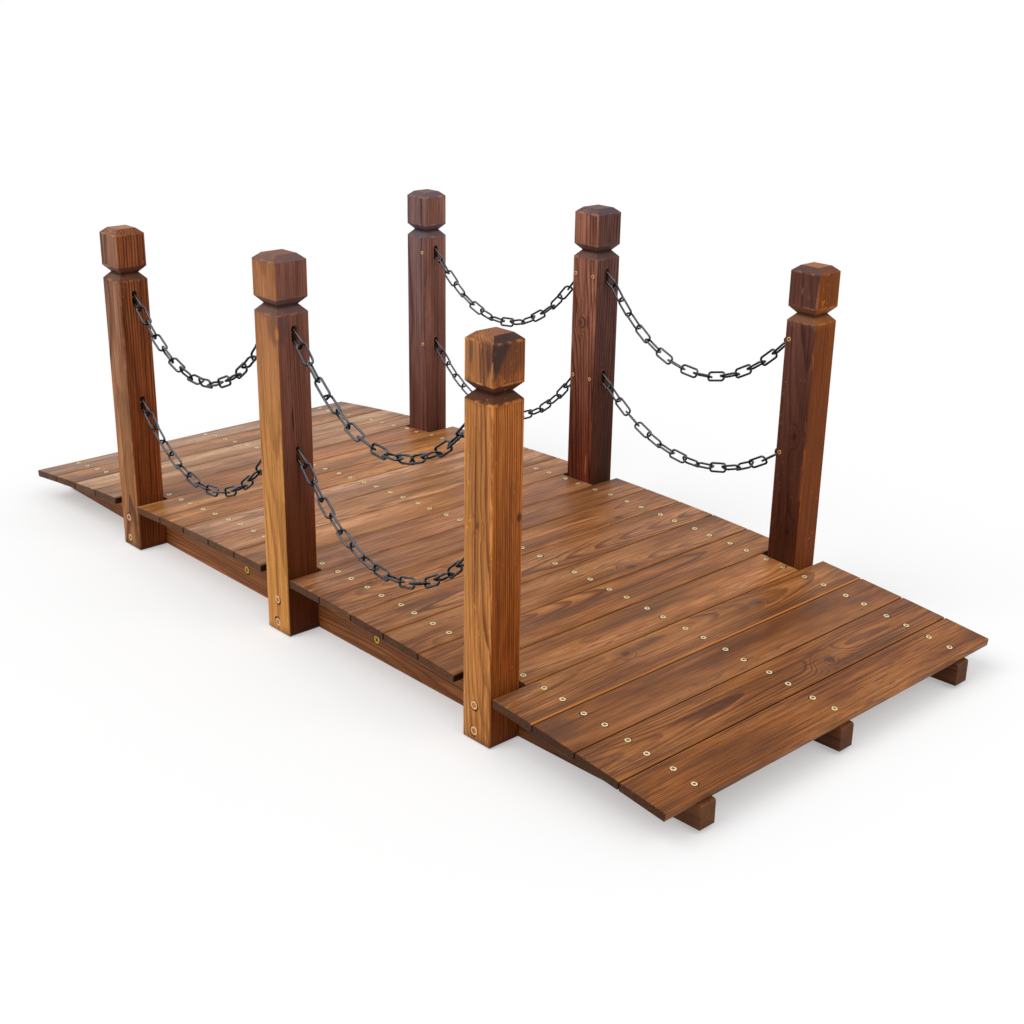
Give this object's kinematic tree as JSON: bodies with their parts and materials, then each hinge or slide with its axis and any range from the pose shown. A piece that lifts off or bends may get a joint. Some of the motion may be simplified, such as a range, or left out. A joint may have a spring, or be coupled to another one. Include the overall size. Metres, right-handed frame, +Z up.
{
  "type": "garden footbridge",
  "caption": "Low arched wooden garden footbridge with crosswise deck planks, grooved square posts and hanging link-chain rails along both sides.",
  "frame": {"origin": "on the ground under the middle of the deck, at the centre of the stringers' flat undersides", "axes": "+X along the bridge, +Y across it, +Z up"},
  "size_m": [1.5046, 0.67, 0.5499],
  "materials": {
    "deck_wood": "oiled, worn",
    "stringer_wood": "oiled",
    "post_wood": "oiled",
    "chain_metal": "satin black"
  },
  "bodies": {
    "root": {"plank_01": "deck_wood", "plank_02": "deck_wood", "plank_03": "deck_wood", "plank_04": "deck_wood", "plank_05": "deck_wood", "plank_06": "deck_wood", "plank_07": "deck_wood", "plank_08": "deck_wood", "plank_09": "deck_wood", "plank_10": "deck_wood", "plank_11": "deck_wood", "plank_12": "deck_wood", "plank_13": "deck_wood", "plank_14": "deck_wood", "plank_15": "deck_wood", "plank_16": "deck_wood", "plank_17": "deck_wood", "plank_18": "deck_wood", "plank_19": "deck_wood", "plank_20": "deck_wood", "plank_21": "deck_wood", "stringer_near": "stringer_wood", "stringer_middle": "stringer_wood", "stringer_far": "stringer_wood", "post_near_1": "post_wood", "post_near_2": "post_wood", "post_near_3": "post_wood", "post_far_1": "post_wood", "post_far_2": "post_wood", "post_far_3": "post_wood", "chain_near_1_upper": "chain_metal", "chain_near_1_lower": "chain_metal", "chain_near_2_upper": "chain_metal", "chain_near_2_lower": "chain_metal", "chain_far_1_upper": "chain_metal", "chain_far_1_lower": "chain_metal", "chain_far_2_upper": "chain_metal", "chain_far_2_lower": "chain_metal"}
  },
  "joints": []
}
